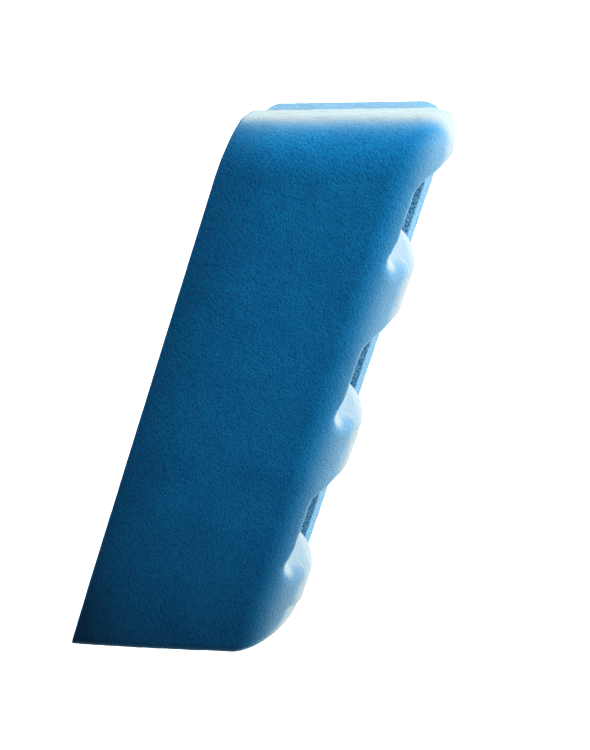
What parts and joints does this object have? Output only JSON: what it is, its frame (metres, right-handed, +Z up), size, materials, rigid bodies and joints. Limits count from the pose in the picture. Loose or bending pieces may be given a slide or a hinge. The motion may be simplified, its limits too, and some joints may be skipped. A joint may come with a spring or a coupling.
{
  "type": "foam hand pad",
  "caption": "Hand-held foam pad with a flat palm face, rounded end and leaning finger scoops along one side, on a backing pad of coarser foam.",
  "frame": {"origin": "under the middle of the bounding box, on the underside of the backing pad", "axes": "+X along the pad to the rounded knob end, -Y to the finger scoops, +Z up to the palm face"},
  "size_m": [0.1988, 0.0624, 0.037],
  "materials": {
    "skinned_foam": "moulded fine-cell foam with a soft pored skin",
    "adhesive": "dull dried contact adhesive",
    "open_cell_foam": "cut coarse-cell foam"
  },
  "bodies": {
    "root": {"foam_body": "skinned_foam", "bond_layer": "adhesive", "backing_pad": "open_cell_foam"}
  },
  "joints": []
}
